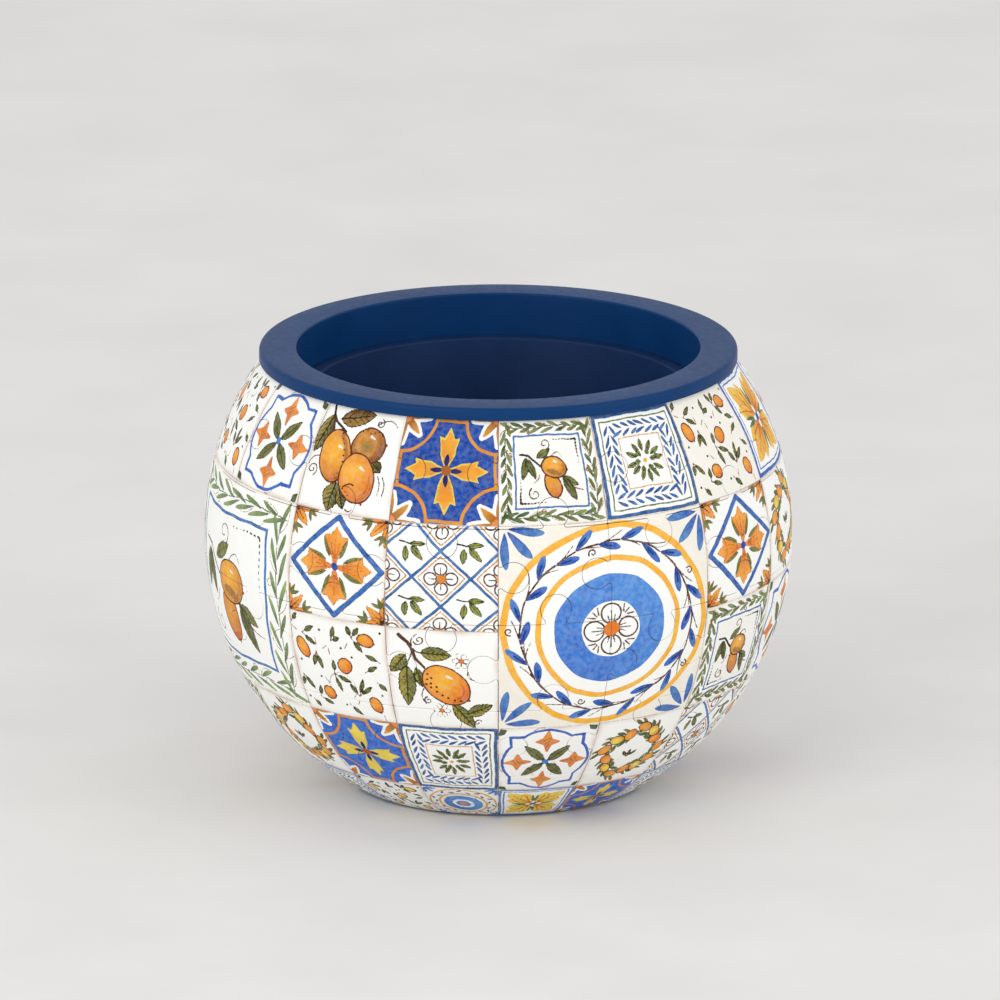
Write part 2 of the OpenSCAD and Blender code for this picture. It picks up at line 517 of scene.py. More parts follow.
def border(t, greens=GREENS, ground=CREAM, length=0.28, width=0.07):
    """A lemon branch in a thin blue frame, with a wreath of green leaves round it."""
    half, stem = 0.68, 0.84
    t.wash(ground * 0.4 + WHITE * 0.6, polygon([(-half, -half), (half, -half), (half, half), (-half, half)]))
    t.fill(STEEL * 0.6 + SKY * 0.4, square_line(half, max(0.03, t.pen(0.5))))
    for q in t.around():
        q.line([(0.84, -0.9), (0.87, -0.3), (0.82, 0.3), (0.85, 0.84)], 0.36, 0.3, LEAF * 0.7)
        for i in range(14):
            s = -0.94 + i * 0.126
            side = 1 if i % 2 else -1
            reach = side * t.random.uniform(0.075, 0.12)
            colour = greens[t.random.integers(len(greens))]
            q.dab(stem, s, stem + reach, s + length * t.random.uniform(0.8, 1.2), width, colour, colour * 0.5)
            if i % 3 == 1:
                pull, tip = (stem + reach * 1.4, s + 0.08), (stem + reach, s + 0.26)
                q.wisp((stem, s), pull, tip, ROSE * 0.5 + OLIVE * 0.5, 0.28)
        q.curl(0.75, t.random.uniform(-0.4, 0.4), 0.05, 60, 1.1, 0.3, ROSE)
    for turn in (0, 180):
        corner = t.turned(turn)
        for i in range(8):
            far = 0.58 - i * 0.062
            corner.line([(far, 0.59), (far - 0.02, 0.59)], 0.6 - i * 0.05, colour=DARK)
            corner.line([(0.59, far), (0.59, far - 0.02)], 0.6 - i * 0.05, colour=DARK)
    t.curl(-0.06, 0.5, 0.12, 250, 1.2)
    t.curl(-0.33, -0.42, 0.12, 120, 1.2)
    t.wisp((-0.22, -0.08), (-0.26, -0.2), (-0.34, -0.22), ROSE)
    t.wisp((0.06, 0.27), (0.2, 0.42), (0.26, 0.25))
    t.wisp((0.26, -0.18), (0.42, -0.35), (0.6, -0.38), ROSE, 0.45)
    t.line([(-0.56, 0.33), (-0.4, 0.3), (-0.18, 0.08)], 0.6, 0.5, DARK)
    for leaf in (
            (-0.44, 0.26, -0.54, -0.15, 0.13, OLIVE * 0.8), (-0.42, 0.24, -0.3, -0.15, 0.13, OLIVE * 0.6),
            (-0.24, 0.24, 0.04, 0.4, 0.14, OLIVE), (0.22, -0.12, 0.52, -0.28, 0.12, OLIVE),
            (0.24, -0.14, 0.46, -0.56, 0.15, OLIVE * 0.6)):
        t.leaf(*leaf, 0.3, 0.3)
    t.fruit(0.03, -0.27, 0.25, 0.15, -72, AMBER * 0.85, ORANGE * 0.75, shine=False)
    t.fruit(0.08, 0.06, 0.24, 0.2, -12, AMBER * 0.7 + YELLOW * 0.3, OCHRE * 0.7 + ORANGE * 0.2)
    t.fill(OLIVE * 0.5 + ORANGE * 0.4, leaf_form(-0.08, 0.0, 0.22, -0.08, 0.1))


def pale_border(t):
    border(t, (PALE_LEAF, PALE_LEAF * 1.08, LEAF * 0.4 + PALE_LEAF * 0.6), WHITE, 0.3, 0.046)


def herringbone(t, line=STEEL * 0.9, leaves=(BLUE * 0.8, STEEL * 0.9, STEEL * 0.5 + SKY * 0.5)):
    """Chevrons of blue leaves round a rosette of olive ones."""
    t.fill(line, square_line(0.955, 0.075))
    t.fill(LEAF, square_line(0.84, max(0.028, t.pen(0.36))))
    t.fill(OCHRE * 0.75 + CREAM * 0.25, square_line(0.48, max(0.026, t.pen(0.34))))
    spine, dark = 0.655, COBALT * 0.5 + STEEL * 0.4
    for q in t.around():
        for i in range(7):
            s = -0.77 + i * 0.185
            for side in (-1, 1):
                colour = leaves[t.random.integers(len(leaves))]
                end = s + t.random.uniform(0.19, 0.27)
                q.dab(spine + side * 0.012, s, spine + side * 0.13, end, 0.062, colour, dark)
    for count, out in ((12, 0.45), (6, 0.27)):
        for i in range(count):
            angle = math.tau * i / count + t.random.uniform(0, 0.2)
            reach = out * t.random.uniform(0.88, 1.0)
            side, up = math.cos(angle), math.sin(angle)
            colour = (OLIVE * 1.1, PALE_LEAF * 0.4 + OLIVE * 0.6)[i % 2]
            t.leaf(0.4 * out * side, 0.4 * out * up, reach * side, reach * up, 0.1, colour, 0.34, 0.14)
    t.dots([(0.11 * math.cos(a), 0.11 * math.sin(a)) for a in np.linspace(0, math.tau, 8)[:-1]], 0.26, WHITE)
    t.ink(AMBER, disc(0, 0, 0.045))


def pale_herringbone(t):
    herringbone(t, SKY, (SKY, SKY, BLUE))


def scatter(t, light=AMBER, dark=ORANGE):
    """Small oranges among loose olive sprigs."""
    for x, y, *tips in (
            (-0.74, 0.6, (-0.46, 0.78), (-0.45, 0.42)), (-0.1, 0.57, (-0.02, 0.86), (0.08, 0.66)),
            (0.34, 0.68, (0.24, 0.9), (0.48, 0.89), (0.53, 0.42)), (-0.47, 0.3, (-0.38, -0.03), (-0.57, 0.0)),
            (-0.14, -0.08, (-0.11, 0.2), (0.2, -0.22), (-0.03, -0.44)), (0.86, 0.26, (0.58, 0.38)),
            (0.52, 0.02, (0.78, 0.17)), (0.34, -0.5, (0.17, -0.25), (0.46, -0.12), (0.62, -0.27)),
            (0.74, -0.14, (0.92, -0.3)), (0.08, -0.7, (0.31, -0.92)),
            (-0.9, -0.24, (-0.68, -0.52), (-0.94, -0.48)), (-0.58, -0.68, (-0.53, -0.42), (-0.3, -0.77)),
            (-0.8, -0.75, (-0.66, -0.92)), (-0.97, 0.78, (-0.84, 0.95))):
        t.sprig(x, y, tips)
    for x, y, heading in ((-0.86, 0.64, 150), (-0.22, 0.46, 220), (0.24, 0.56, 240), (-0.44, 0.44, 95),
                          (-0.17, 0.3, 95), (0.3, -0.62, 250), (0.78, -0.86, 280), (-0.3, -0.3, 130)):
        angle = math.radians(heading)
        t.line([(x, y), (x + 0.12 * math.cos(angle), y + 0.12 * math.sin(angle))], 0.34, 0.26, ROSE)
    for *body, nub in ((-0.76, 0.32, 0.2, 0.125, -66, 1), (0.61, 0.66, 0.16, 0.12, -12, 1),
                       (0.12, 0.11, 0.155, 0.145, 60, 0), (-0.33, -0.52, 0.14, 0.125, -60, 0),
                       (0.66, -0.65, 0.17, 0.12, -68, 1)):
        t.fruit(*body, light, dark, nub, 0.36, False)
    t.dots([(-0.33, 0.73), (0.1, 0.46), (0.9, 0.85), (-0.87, 0.06), (-0.46, -0.21), (0.81, -0.42),
            (0.0, -0.73), (-0.88, -0.72), (0.3, 0.3)], 0.36)


def cream_scatter(t):
    t.cover(CREAM * 0.7 + WHITE * 0.3)
    scatter(t)


def yellow_scatter(t):
    scatter(t, LEMON, AMBER)


def quatrefoil(t):
    """Four orange stars and four olive leaves in a curved blue frame."""
    for q in t.around():
        q.fill(BLUE, stroke([(0.48, 0.74), (0.74, 0.74), (0.74, 0.48)], 0.055, 0.075))
        q.fill(BLUE, stroke(curve((0.74, 0.48), (1.12, 0.0), (0.74, -0.48), 13), 0.06))
        q.fill(LEAF * 0.5, polygon([(0.8, 0.99), (0.84, 0.86), (0.97, 0.82), (0.99, 0.95)]))
        q.leaf(0.04, 0.04, 0.48, 0.46, 0.21, OLIVE * 0.8, 0.34, 0.3)
        petal = polygon([(0.33, 0), (0.52, 0.06), (0.6, 0.23), (0.68, 0.08), (0.87, 0), (0.68, -0.08),
                         (0.6, -0.23), (0.52, -0.06)])
        q.fill(fade((0.36, 0), (0.86, 0), PEACH * 0.85, PEACH * 0.6 + AMBER * 0.4), grown(petal, 0.025))
        for u, v in ((0.46, 0.02), (0.54, 0.06), (0.62, 0.08)):
            q.line([(u, v), (u + 0.1, -v)], 0.3, 0.24, RUST)
        q.wisp((0.9, 0.3), (1.0, 0.2), (0.98, 0.06), ROSE, 0.26)
    t.ink(BLUE * 0.6 + SKY * 0.4, disc(0, 0, 0.07))


def lemons(t):
    """Three large lemons on a branch."""
    t.wisp((-0.74, -0.02), (-0.98, -0.06), (-0.96, -0.24))
    t.curl(-0.84, -0.3, 0.13, -60, 1.3)
    t.wisp((0.4, 0.72), (0.7, 0.96), (0.86, 0.74))
    t.curl(0.46, 0.76, 0.1, 80, -1.2)
    for x in (0.64, 0.74):
        t.wisp((x, -0.22), (x + 0.12, -0.4), (x + 0.06, -0.58))
    t.wisp((0.1, -0.92), (0.18, -1.0), (0.24, -0.9))
    brown_leaf, green_leaf = RUST * 0.4 + OLIVE * 0.15, OLIVE * 0.6
    for leaf in ((-0.52, 0.74, 0.3, 0.9, 0.36, brown_leaf), (-0.72, 0.78, -0.94, 0.02, 0.32, green_leaf),
                 (-0.2, -0.44, -0.3, -0.98, 0.38, green_leaf), (-0.1, -0.55, 0.04, -0.92, 0.2, green_leaf),
                 (0.46, 0.02, 0.68, -0.14, 0.22, green_leaf)):
        t.veined_leaf(*leaf, DARK)
    t.line([(-0.8, 0.96), (-0.73, 0.78), (-0.62, 0.68), (-0.3, 0.52)], 0.8, 0.6, DARK)
    t.line([(-0.7, 0.76), (-0.62, 0.52)], 0.6, 0.9, BROWN)
    t.fruit(0.3, 0.31, 0.38, 0.34, 10, OCHRE, RUST * 0.8)
    bruise = glow(0.26, 0.28, 0.24, OLIVE * 0.6 + ORANGE * 0.2, OCHRE * 0.8 + ORANGE * 0.15)
    t.fill(bruise, disc(0.25, 0.26, 0.2))
    t.dots([(0.02 + 0.09 * i, 0.54 + 0.025 * (i % 3)) for i in range(7)], 0.24, BROWN)
    t.fruit(-0.4, 0.04, 0.5, 0.36, -76, AMBER * 0.7 + YELLOW * 0.3, RUST * 0.5 + ORANGE * 0.5)
    seam = curve((-0.34, 0.44), (-0.06, 0.1), (-0.14, -0.34))
    t.fill(RUST * 0.7 + OCHRE * 0.3, stroke(seam, 0.1, 0.05))
    t.dots(curve((-0.36, 0.48), (-0.14, 0.1), (-0.2, -0.4), 9), 0.26, BROWN)
    t.fruit(0.2, -0.32, 0.48, 0.37, -66, AMBER * 0.8 + YELLOW * 0.2, ORANGE * 0.75 + RUST * 0.25)
    t.ink(BROWN, bow(0.1, -0.62, 0.17, 60, 150, t.pen(0.4)))
    t.dots([(-0.03, -0.54), (0.04, -0.6), (0.1, -0.66), (0.02, -0.68)], 0.24, BROWN)


def diamond(t):
    """Four orange tulips in a blue diamond, with orange petals in the tile's corners."""
    for q in t.around():
        q.fill(BLUE * 0.5 + STEEL * 0.5, stroke([(0.93, 0), (0, 0.93)], 0.1))
        q.leaf(0.1, 0.17, 0.25, 0.55, 0.1, OLIVE * 1.15, 0.2)
        q.leaf(0.17, 0.1, 0.55, 0.25, 0.1, OLIVE * 1.15, 0.2)
        tulip = tulip_form([(0.05, 0.03), (0.22, 0.08), (0.42, 0.17), (0.57, 0.25), (0.58, 0.12)], 0.75)
        flame = fade((0.1, 0), (0.7, 0), ORANGE * 0.8 + AMBER * 0.2, AMBER * 0.9 + PEACH * 0.1)
        q.outlined(tulip, flame, RUST, 0.18)
        for flank in (-1, 0, 1):
            end = (0.56 - 0.1 * abs(flank), 0.1 * flank)
            q.wisp((0.16, 0.02 * flank), (0.36, 0.08 * flank), end, RUST, 0.26)
        for tip, width in (((0.66, 0.66), 0.17), ((0.97, 0.46), 0.14), ((0.46, 0.97), 0.14)):
            petal = leaf_form(1.0, 1.0, *tip, width)
            q.outlined(petal, fade((1, 1), tip, ORANGE * 0.6 + AMBER * 0.3, AMBER), RUST * 0.8, 0.24)
            end = (1 + (tip[0] - 1) * 0.7, 1 + (tip[1] - 1) * 0.7)
            q.line([(1, 1), end], 0.36, 0.24, BROWN)
        q.dots([(0.95, 0.95)], 0.5)
        for x, y, heading in ((0.68, 0.95, 205), (0.95, 0.68, 245)):
            for lean in (-42, 0, 42):
                angle = math.radians(heading + lean)
                q.leaf(x, y, x + 0.23 * math.cos(angle), y + 0.23 * math.sin(angle), 0.07, OLIVE * 0.9)
    t.ink(COBALT, disc(0, 0, 0.07))


def lattice(t):
    """Blue lattice with outlined flowers and olive sprigs in its cells."""
    pitch = 0.52
    for q in t.around()[:2]:
        for offset in (-3, -1, 1, 3):
            ends = [(-2, -2 + offset * pitch), (2, 2 + offset * pitch)]
            q.fill(fade((-0.7, -0.7), (0.7, 0.7), STEEL, SKY * 0.5 + STEEL * 0.5), stroke(ends, 0.052))
    reach = 2 * pitch
    for x, y in [(0, 0)] + [(i * reach, j * reach) for i in (-1, 0, 1) for j in (-1, 0, 1) if i or j]:
        corners = [(x + 0.42, y), (x, y + 0.42), (x - 0.42, y), (x, y - 0.42)]
        t.fill(OCHRE, edge_of(polygon(corners), t.pen(0.34)))
        t.flower(x, y, 0.3, heart=ORANGE * 0.5 + OCHRE * 0.4)
    for x, y in [(i * pitch, j * pitch) for i in (-1, 1) for j in (-1, 1)]:
        t.line([(x - 0.24, y + 0.13), (x - 0.06, y + 0.09)], 0.45, 0.4, DARK)
        for leaf in ((x - 0.05, y + 0.1, x + 0.24, y + 0.11, 0.1, OLIVE * 1.5),
                     (x - 0.02, y + 0.05, x + 0.2, y - 0.19, 0.12, OLIVE * 1.4),
                     (x - 0.11, y + 0.04, x - 0.12, y - 0.25, 0.11, OLIVE * 1.5)):
            t.leaf(*leaf, 0.28, 0.26)


def medallion(t):
    """Rings of amber round a vine of blue leaves and a blue disc with a flower."""
    t.cover(CREAM)
    t.wash(WHITE, disc(0, 0, 0.95))
    lit = fade((-0.4, -0.45), (0.35, 0.4), BLUE * 0.8 + SKY * 0.3, BLUE * 0.3 + SKY * 0.8)
    t.fill(lit, disc(0, 0, 0.52))
    t.clear("fill", disc(0, 0, 0.27))
    for r, width in ((0.957, 0.06), (0.66, 0.05)):
        t.fill(AMBER * 0.5 + YELLOW * 0.5, edge_of(disc(0, 0, r), width))
    vine = 0.815
    t.ink(BROWN * 0.8, edge_of(disc(0, 0, vine), t.pen(0.46)))
    for i, q in enumerate(t.around(24, 8)):
        out = 1 if i % 2 else -1
        reach = out * t.random.uniform(0.09, 0.125)
        end = t.random.uniform(0.2, 0.24)
        colour = (BLUE, BLUE * 0.5 + SKY * 0.5)[i % 2]
        q.dab(vine, 0, vine + reach, -end, 0.07, colour, COBALT * 0.8 + NAVY * 0.2, 0.34)
        away = out * (-0.05, -0.075, -0.035)[i % 3]
        colour = (BROWN, ROSE * 0.6)[i % 2]
        q.wisp((vine, -0.03), (vine + away * 0.1, -0.12), (vine + away, -0.25), colour, 0.38)
        if i % 4 == 1:
            q.wisp((vine, -0.06), (vine + away * 0.4, -0.14), (vine + away * 1.6, -0.2), BROWN, 0.36)
        if i % 5 == 2:
            q.curl(vine - out * 0.08, -0.14, 0.04, 100, -1.1, 0.4)
    for q in t.around():
        for x0, y0, x1, y1 in ((0.96, 0.93, 0.93, 0.59), (0.94, 0.94, 0.7, 0.7), (0.93, 0.96, 0.59, 0.93)):
            q.dab(x0, y0, x1, y1, max(0.08, t.pen(0.9)), SKY * 0.8, BLUE * 0.9)
        for lean in (-0.045, 0, 0.045):
            q.line([(0.135 + lean / 3, 0.135 - lean / 3), (0.175 + lean, 0.175 - lean)], 0.4, 0.34)
    t.flower(0, 0, 0.25, outline=0.46, strokes=3)


def little_medallion(t):
    """A plainer medallion for the lowest course."""
    t.wash(CREAM * 0.6 + WHITE * 0.4, disc(0, 0, 1.5))
    t.fill(fade((-0.4, -0.4), (0.4, 0.4), BLUE * 0.5 + SKY * 0.5, SKY * 1.1), disc(0, 0, 0.56))
    t.fill(WHITE, edge_of(disc(0, 0, 0.26), 0.1))
    t.fill(AMBER * 0.8 + ORANGE * 0.2, disc(0, 0, 0.11))
    for r, width in ((0.68, 0.06), (0.95, 0.05)):
        t.fill(OCHRE * 0.6 + YELLOW * 0.4, edge_of(disc(0, 0, r), width))
    for i, q in enumerate(t.around(22)):
        side, colour = ((0.08, BLUE), (-0.08, SKY))[i % 2]
        q.dab(0.81, 0, 0.81 + side, -0.17, 0.07, colour, COBALT)
    for q in t.around():
        for x1, y1 in ((0.92, 0.62), (0.72, 0.72), (0.62, 0.92)):
            q.dab(0.96, 0.96, x1, y1, 0.09, SKY, BLUE)


def big_lemon(t):
    """One large lemon on its branch."""
    t.curl(-0.4, 0.79, 0.1, 200, 1.2)
    t.wisp((-0.52, 0.68), (-0.58, 0.8), (-0.44, 0.9))
    t.curl(-0.3, -0.42, 0.08, 100, 1.2)
    t.wisp((-0.36, -0.18), (-0.48, -0.34), (-0.34, -0.5))
    t.wisp((0.48, 0.22), (0.42, 0.08), (0.58, 0.06))
    t.curl(0.62, -0.86, 0.07, 20, 1.0)
    for leaf in ((-0.36, 0.54, 0.18, 0.54, 0.27), (-0.64, 0.5, -0.94, 0.14, 0.25),
                 (-0.63, 0.28, -0.7, -0.54, 0.32), (-0.46, 0.24, -0.38, -0.14, 0.16),
                 (0.15, -0.45, 0.57, -0.97, 0.25), (0.42, -0.67, 0.88, -0.48, 0.24)):
        t.veined_leaf(*leaf)
    t.line([(-0.76, 0.88), (-0.6, 0.74), (-0.52, 0.6)], 1.0, 0.8, BROWN)
    t.line([(-0.52, 0.6), (-0.46, 0.42), (-0.3, 0.26)], 0.9, 0.7, BROWN)
    t.wisp((-0.5, 0.62), (-0.45, 0.54), (-0.34, 0.54), width=0.46)
    t.wisp((-0.52, 0.58), (-0.56, 0.44), (-0.62, 0.3), width=0.46)
    t.fruit(0.06, -0.08, 0.46, 0.36, -36, AMBER * 0.6 + YELLOW * 0.4)
    t.dots([(-0.26, 0.13), (-0.2, 0.05), (-0.28, 0.02), (-0.22, -0.06), (-0.3, -0.08), (-0.22, -0.14),
            (-0.12, -0.22), (-0.02, -0.29), (0.08, -0.33), (0.2, -0.38), (0.31, -0.38), (-0.12, -0.12)],
           0.34, BROWN)
    for x, y in ((0.36, 0.44), (-0.05, -0.62)):
        t.flower(x, y, 0.16, 6, outline=0.2, strokes=0)


def wreath(t):
    """A ring of oranges and leaves."""
    for i, q in enumerate(t.around(13)):
        reach = 0.65 + (0.07, -0.07, 0.0)[i % 3]
        for lean in (-0.24, 0.2):
            q.leaf(reach + lean * 0.4, 0.1, reach + lean, 0.3, 0.1, (LEAF * 0.8, OLIVE)[i % 2], 0.24)
            q.leaf(reach, -0.04, reach - lean * 1.1, 0.12, 0.09, (OLIVE, PALE_LEAF * 0.8)[i % 2], 0.24)
        light, dark = ((AMBER, OCHRE), (AMBER, ORANGE), (LEMON, OCHRE))[i % 3]
        q.fruit(reach, 0, 0.165, 0.12, 90 + t.random.uniform(-50, 50), light, dark, 0, 0.3, False)
        q.line([(reach + 0.2, 0.1), (reach + 0.24, 0.14)], 0.4, 0.3, RUST)
    t.sprig(-0.05, -0.12, [(-0.2, 0.06), (-0.02, 0.1), (0.16, 0.04)], 0.07)


def tulips(t, petals=(AMBER * 0.5 + ORANGE * 0.5, AMBER), frame=BLUE):
    """Four flame-shaped tulips on the diagonals of a double blue frame."""
    t.fill(frame, square_line(0.955, 0.07))
    t.fill(SKY * 0.5 + BLUE * 0.5, square_line(0.85, max(0.03, t.pen(0.36))))
    for i, q in enumerate(t.around()):
        colour = petals[i % 2]
        for tip, width in (((0.76, 0.74), 0.4), ((0.76, 0.3), 0.3), ((0.3, 0.76), 0.3)):
            form = leaf_form(0.06, 0.06, *tip, width, 0.58)
            q.outlined(form, fade((0.1, 0.1), tip, colour * 0.9, colour * 0.4 + LEMON * 0.6), RUST, 0.2)
            q.line([(0.12, 0.12), (tip[0] * 0.8, tip[1] * 0.8)], 0.34, 0.24, ORANGE * 0.7)
        for side in (-1, 1):
            q.leaf(0.2, 0.02 * side, 0.66, 0.08 * side, 0.075, LEAF)
    t.ink(COBALT, oval(0, 0, 0.1, 0.07, 30))


def yellow_tulips(t):
    tulips(t, (LEMON, YELLOW * 0.6 + LEMON * 0.4), SKY * 0.8 + BLUE * 0.2)


# The motifs of each row of tiles, from the front towards the east. None is under a large tile.
TILE_ROWS = [
    [border, herringbone, cream_scatter, tulips, quatrefoil, lemons, cross, border,
     herringbone, scatter, diamond, lattice, scatter, quatrefoil, lemons, cross],
    [None, None, diamond, wreath, lattice, scatter, None, None,
     diamond, lattice, herringbone, wreath, None, None, diamond, lattice],
    [None, None, border, quatrefoil, big_lemon, herringbone, None, None,
     border, big_lemon, quatrefoil, scatter, None, None, scatter, big_lemon],
    [quatrefoil, wreath, lattice, scatter, yellow_cross, quatrefoil, wreath, herringbone,
     lattice, yellow_cross, diamond, quatrefoil, border, wreath, yellow_cross, herringbone],
    [yellow_tulips, yellow_cross, pale_herringbone, lattice, little_medallion, yellow_scatter,
     yellow_tulips, yellow_cross, pale_herringbone, quatrefoil, little_medallion, yellow_scatter,
     quatrefoil, pale_herringbone, yellow_scatter, little_medallion],
]
# Tiles two rows high and two columns wide, by their top row and left column.
LARGE_TILES = {(2, 1): medallion, (2, 7): medallion, (2, 13): pale_border}


def tile_areas():
    """Every tile as its motif, its first row and column, and how many rows and columns it spans."""
    for r, row in enumerate(TILE_ROWS, 1):
        for c, motif in enumerate(row, 1):
            if motif:
                yield motif, r, c, 1
    for (r, c), motif in LARGE_TILES.items():
        yield motif, r, c, 2


def hand_drawn(at, seed):
    """The tile's points, shifted a little, as if its lines were drawn without a ruler."""
    phase = np.random.default_rng(seed).uniform(0, math.tau, 4)
    slow, fast = 0.011, 0.004
    u, v = at.T
    du = slow * np.sin(4.3 * v + phase[0]) + fast * np.sin(17 * v + 9 * u + phase[1])
    dv = slow * np.sin(4.9 * u + phase[2]) + fast * np.sin(19 * u - 8 * v + phase[3])
    return np.stack([u + du, v + dv], axis=1)


def edge_line(tile, flat):
    """The fine pale line where two tiles meet, which stays straight."""
    Tile(flat, tile.scale, paint=tile.paint).ink(GROUT, square_line(1.0, tile.pen(GROUT_WIDTH)))


def aged(at, scale):
    """The tile's own colour: white, and soiled unevenly towards its edges."""
    inwards = (1 - np.abs(at).max(axis=1)) * scale
    uneven = 0.7 + 0.3 * np.sin(5 * at[:, 0] + 7 * at[:, 1])
    soiled = np.clip(1 - inwards / SOIL_WIDTH, 0, 1) ** 2 * uneven
    return WHITE + (SOIL - WHITE) * soiled[:, None]


def on_tile(lat, east, row, column, span):
    """The points on a tile. The first and last rows take in the shell's edges."""
    edges = [math.inf, *TILE_EDGES[1:-1], -math.inf]
    top, bottom = edges[row - 1], edges[row - 1 + span]
    left, right = STEP * (column - 1), STEP * (column - 1 + span)
    return np.flatnonzero((lat <= top) & (lat > bottom) & (east >= left) & (east < right))


def painted(lat, lon):
    """The three layers' colours, and their distances in millimetres, at points of the ball's surface."""
    colours = {layer: np.zeros((len(lat), 3)) for layer in LAYERS}
    edges = {layer: np.full(len(lat), HALO) for layer in LAYERS}
    east = (lon + math.pi / 2) % math.tau
    for motif, row, column, span in tile_areas():
        members = on_tile(lat, east, row, column, span)
        top, bottom = TILE_EDGES[row - 1], TILE_EDGES[row - 1 + span]
        middle, width = (top + bottom) / 2, STEP * span
        u = (east[members] - STEP * (column - 1)) / width * 2 - 1
        v = (lat[members] - middle) / (top - bottom) * 2
        flat = np.stack([u, v], axis=1)
        scale = BALL_R * (math.cos(middle) * width + top - bottom) / 4
        seed = row * 100 + column
        tile = Tile(hand_drawn(flat, seed), scale, np.random.default_rng(seed))
        tile.cover(lambda at: aged(at, scale))
        motif(tile)
        edge_line(tile, flat)
        for layer in LAYERS:
            colours[layer][members] = tile.paint[layer][0]
            edges[layer][members] = np.clip(tile.paint[layer][1], -HALO, HALO)
    return colours, edges


# ---------------------------------------------------------------- the jigsaw pieces' shapes


def arc_points(centre, r, start, end):
    """Points along an arc, about GRID apart."""
    count = max(5, math.ceil(abs(end - start) * r / GRID) + 1)
    angle = np.linspace(start, end, count)
    return np.stack([centre[0] + r * np.cos(angle), centre[1] + r * np.sin(angle)], axis=1)


def knob_size(lat):
    """Knobs get smaller where the course is shorter."""
    return min(1, 0.1 + math.cos(lat))


def knob_path(size):
    """One knob as (along the seam, away from it): a fillet, the round head and the other fillet."""
    head, neck, reach = KNOB_W / 2 * size, NECK_W * size, KNOB_REACH * size
    rise = reach - head
    slack = reach - neck / 2
    fillet = slack - math.sqrt(slack**2 - neck**2 / 4 + head**2 - rise**2)
    side = neck / 2 + fillet
    touch = math.atan2(rise - fillet, side)
    left = arc_points((-side, fillet), fillet, -math.pi / 2, touch)
    top = arc_points((0, rise), head, math.pi + touch, -touch)
    return np.concatenate([left, top[1:-1], left[::-1] * (-1, 1)])


def knob_outline(lat, lon, travel, outward, sign):
    """A knob on an edge, or its socket where the sign is -1, as latitudes and longitudes."""
    size = knob_size(lat)
    along, out = knob_path(size).T
    east = travel[0] * along + sign * outward[0] * out
    north = travel[1] * along + sign * outward[1] * out
    if outward[1]:  # a level seam bows away from the plane that the knob is drawn in
        north = north + math.tan(lat) * along**2 / (2 * BALL_R) * (1 - out / (KNOB_REACH * size))
    up = np.sqrt(BALL_R**2 - east**2 - north**2)
    level = up * math.cos(lat) - north * math.sin(lat)
    height = up * math.sin(lat) + north * math.cos(lat)
    return np.arcsin(height / BALL_R), lon + np.arctan2(east, level)


def straight(start, end):
    """Points from start to end, about GRID apart, without the two ends."""
    count = math.ceil(np.hypot(*(end - start)) / GRID) + 1
    return np.linspace(start, end, count)[1:-1]


def outline(course, sides_out, points_up):
    """A piece's outline on its seam lines, anticlockwise, in millimetres east and north of its middle."""
    above, below = EDGES[course - 1], EDGES[course]
    middle = (above + below) / 2
    half = BALL_R * STEP / 2 * math.cos(middle)
    low, high = BALL_R * (below - middle), BALL_R * (above - middle)
    side_sign = 1 if sides_out else -1
    edges = [
        ((-half, low), (1, 0), below, 0, 0 if course == COURSES else (-1 if points_up else 1)),
        ((half, low), (0, 1), middle, STEP / 2, side_sign),
        ((half, high), (-1, 0), above, 0, 0 if course == 1 else (1 if points_up else -1)),
        ((-half, high), (0, -1), middle, -STEP / 2, side_sign),
    ]
    path = []
    for i, (corner, travel, lat, lon, sign) in enumerate(edges):
        way = np.array(travel, float)
        outward = np.array([travel[1], -travel[0]], float)
        start = np.array(corner) + way * CORNER_R
        end = np.array(edges[(i + 1) % 4][0]) - way * CORNER_R
        turn = math.atan2(-way[1], -way[0])
        path.append(arc_points(start - outward * CORNER_R, CORNER_R, turn, turn + math.pi / 2))
        if sign:
            lats, lons = knob_outline(lat, lon, travel, outward, sign)
            knob = np.stack([BALL_R * lons * math.cos(middle), BALL_R * (lats - middle)], axis=1)
            path += [straight(start, knob[0]), knob, straight(knob[-1], end)]
        else:
            path.append(straight(start, end))
    return np.concatenate(path)


def inset(path, by):
    """A closed anticlockwise path, moved in by that much."""
    along = np.roll(path, -1, axis=0) - np.roll(path, 1, axis=0)
    inward = np.stack([-along[:, 1], along[:, 0]], axis=1)
    return path + by * inward / np.hypot(*along.T)[:, None]


def grid_inside(path, spacing):
    """Points of a triangular grid inside a closed path, clear of the path itself."""
    low, high = path.min(axis=0), path.max(axis=0)
    rows = np.arange(low[1], high[1], spacing * math.sqrt(3) / 2)
    columns = np.arange(low[0], high[0], spacing)
    shift = np.where(np.arange(len(rows)) % 2, spacing / 2, 0)
    points = np.stack([(columns[None] + shift[:, None]).ravel(), np.repeat(rows, len(columns))], axis=1)
    a, b = path, np.roll(path, -1, axis=0)
    spans = (a[:, 1] <= points[:, 1:]) != (b[:, 1] <= points[:, 1:])
    slope = np.divide(b[:, 0] - a[:, 0], b[:, 1] - a[:, 1], out=np.zeros(len(a)), where=a[:, 1] != b[:, 1])
    crossed = spans & (points[:, :1] < a[:, 0] + (points[:, 1:] - a[:, 1]) * slope)
    points = points[crossed.sum(axis=1) % 2 == 1]
    gap = np.hypot(points[:, :1] - a[:, 0], points[:, 1:] - a[:, 1]).min(axis=1)
    return points[gap > spacing * CLEAR_OF_EDGE]


